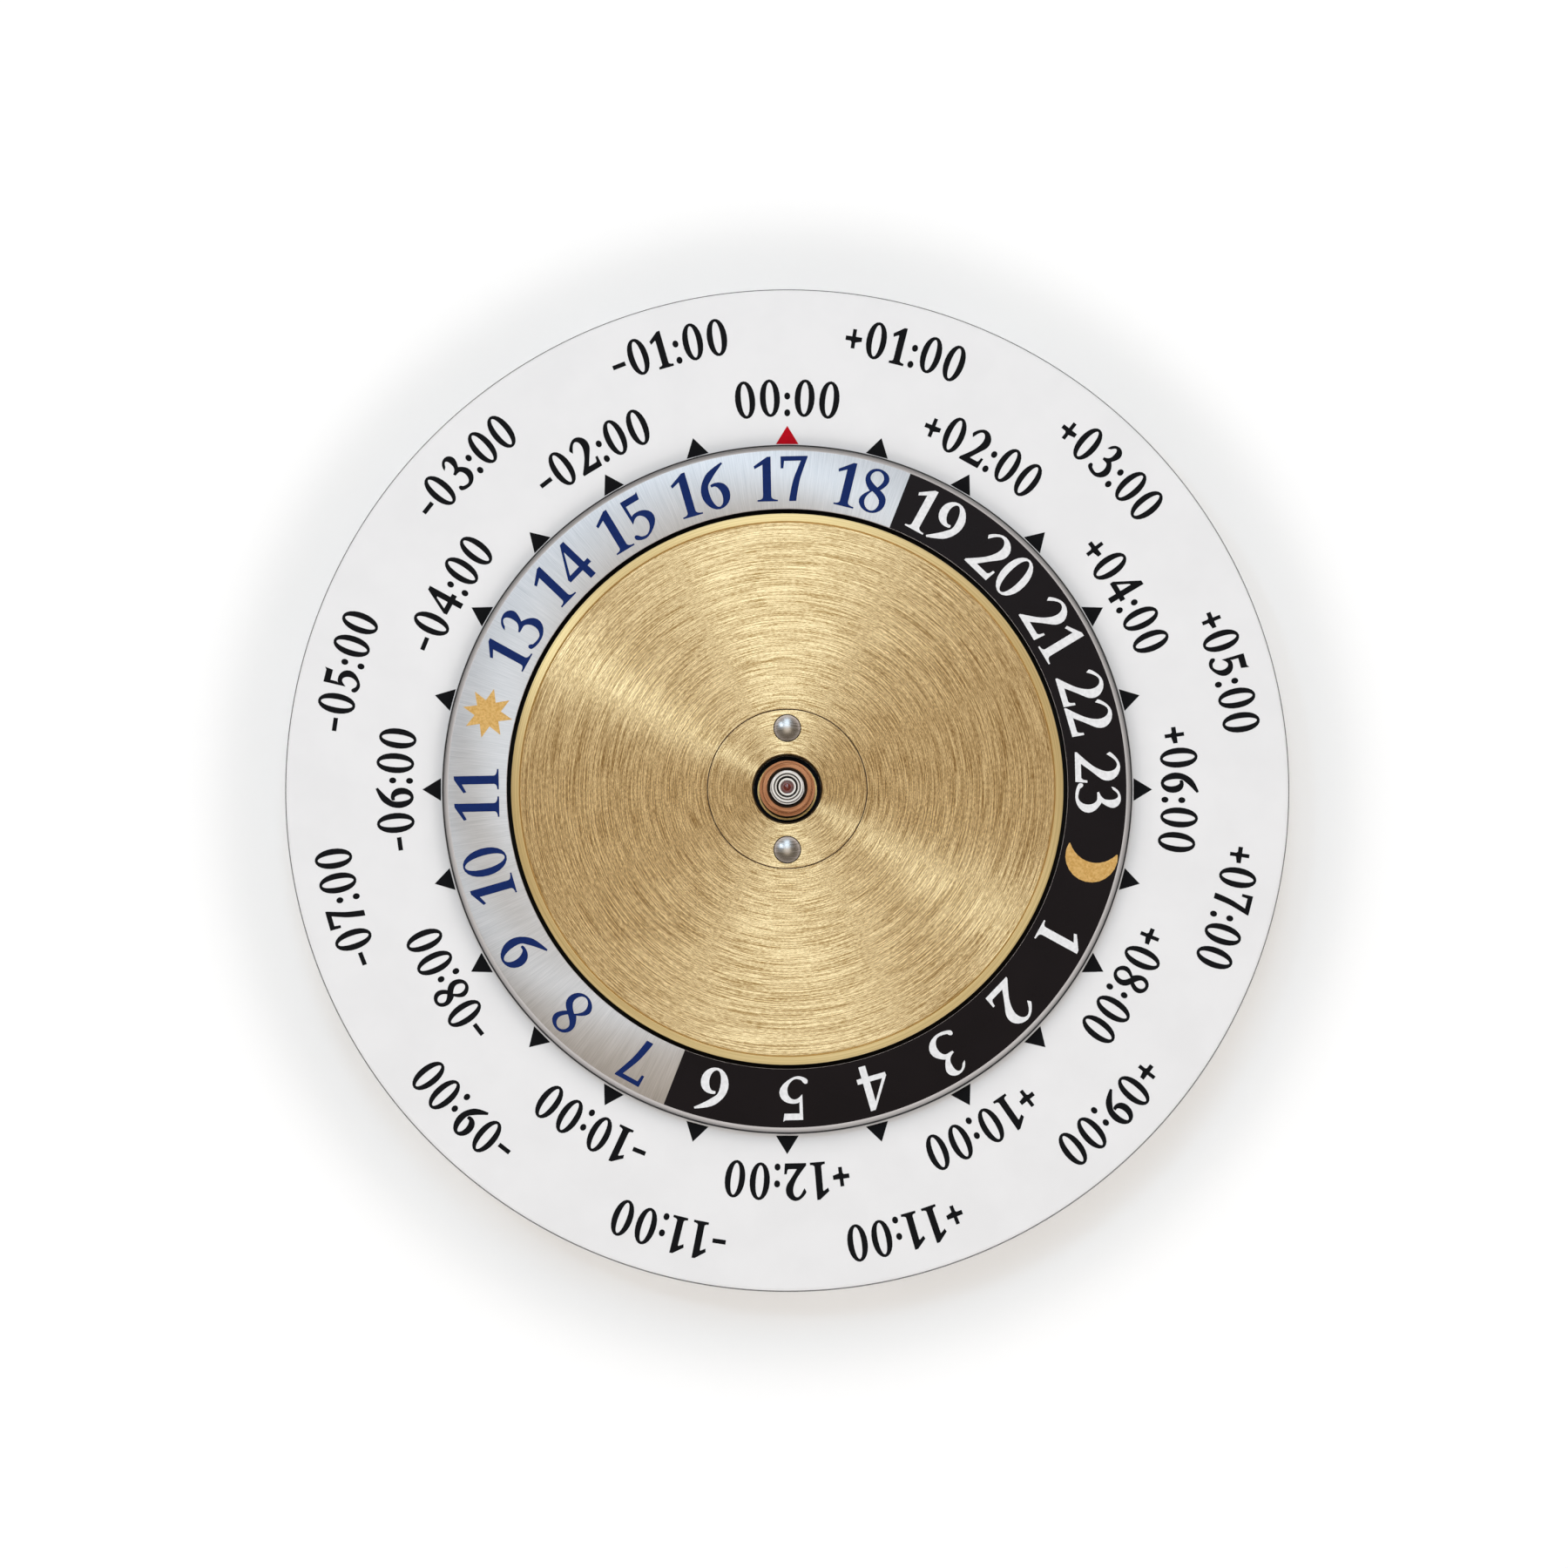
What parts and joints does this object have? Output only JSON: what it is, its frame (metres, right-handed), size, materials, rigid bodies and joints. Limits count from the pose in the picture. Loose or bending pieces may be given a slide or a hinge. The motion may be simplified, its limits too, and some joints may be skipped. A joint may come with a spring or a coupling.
{
  "type": "watch world time display",
  "caption": "Round world time display: a settable disc of time zones, a counter-turning day and night ring and a brass centre plate over a gear train, with pipes for hour and minute hands.",
  "frame": {"origin": "middle of the base plate's flat rear face, which is the middle of the bottom of the whole part", "axes": "+Z out of the rear face towards the dial side, along every arbor; +Y towards the top of the dial; +X towards the three o'clock side, where the reverser wheel stands"},
  "size_m": [0.031, 0.031, 0.0038],
  "materials": {
    "white_lacquer": "satin white lacquer on a metal disc",
    "silvered_ring": "radially brushed silver half and black lacquer half, polished bevel",
    "face_brass": "fine circular brushing",
    "train_brass": "gilt, lightly brushed",
    "plated_brass": "plated brass, finely blasted",
    "copper_alloy": "turned copper alloy",
    "polished_steel": "polished steel",
    "spring_steel": "ground spring steel",
    "blued_steel": "blued spring steel",
    "blackened_brass": "brass with a black oxide finish",
    "ruby": "polished synthetic ruby"
  },
  "bodies": {
    "root": {"base_plate": "plated_brass", "centre_tube": "polished_steel", "jewel_setting": "polished_steel", "centre_jewel": "ruby", "minute_bush": "train_brass", "reverser_stud": "polished_steel", "bridge_pillars": "polished_steel", "centre_bridge": "plated_brass", "bridge_screws": "polished_steel", "dial_hub": "face_brass", "hub_pins": "polished_steel", "centre_plate": "face_brass", "city_jumper": "spring_steel", "jumper_screw": "polished_steel", "jumper_pin": "polished_steel", "setting_bush": "train_brass", "setting_washer": "spring_steel"},
    "day_ring": {"day_night_ring": "silvered_ring", "day_wheel": "blackened_brass", "day_ring_feet": "train_brass"},
    "hour": {"hour_wheel": "copper_alloy", "drive_collet": "train_brass", "drive_wheel": "train_brass", "dial_washer": "blued_steel"},
    "minute": {"cannon_pinion": "polished_steel"},
    "minute_drive": {"minute_wheel": "train_brass", "minute_pinion": "polished_steel"},
    "reverser": {"reverser_wheel": "train_brass", "reverser_bush": "train_brass"},
    "city": {"city_disc": "white_lacquer", "city_disc_feet": "train_brass", "city_wheel": "train_brass"},
    "setting": {"setting_pinion": "polished_steel"}
  },
  "joints": [
    {"name": "day_ring_turn", "type": "hinge", "parent": "root", "child": "day_ring", "pos_m": [0, 0, 0.002], "axis": [0, 0, 1], "continuous": true},
    {"name": "reverser_turn", "type": "hinge", "parent": "root", "child": "reverser", "pos_m": [0.006, 0, 0.00165], "axis": [0, 0, 1], "continuous": true},
    {"name": "hour_turn", "type": "hinge", "parent": "root", "child": "hour", "pos_m": [0, 0, 0.002], "axis": [0, 0, 1], "continuous": true},
    {"name": "minute_drive_turn", "type": "hinge", "parent": "root", "child": "minute_drive", "pos_m": [0, -0.0025, 0.00075], "axis": [0, 0, 1], "continuous": true},
    {"name": "minute_turn", "type": "hinge", "parent": "root", "child": "minute", "pos_m": [0, 0, 0.002], "axis": [0, 0, 1], "continuous": true},
    {"name": "city_turn", "type": "hinge", "parent": "root", "child": "city", "pos_m": [0, 0, 0.0015], "axis": [0, 0, 1], "continuous": true, "deforming": ["city_jumper"]},
    {"name": "setting_turn", "type": "hinge", "parent": "root", "child": "setting", "pos_m": [-0.0121, 0, 0.001], "axis": [0, 0, 1], "continuous": true}
  ],
  "couplings": [
    {"joint": "reverser_turn", "follows": "day_ring_turn", "ratio": 4},
    {"joint": "hour_turn", "follows": "day_ring_turn", "ratio": -2},
    {"joint": "minute_drive_turn", "follows": "day_ring_turn", "ratio": 8},
    {"joint": "minute_turn", "follows": "day_ring_turn", "ratio": -24},
    {"joint": "setting_turn", "follows": "city_turn", "ratio": 12}
  ]
}
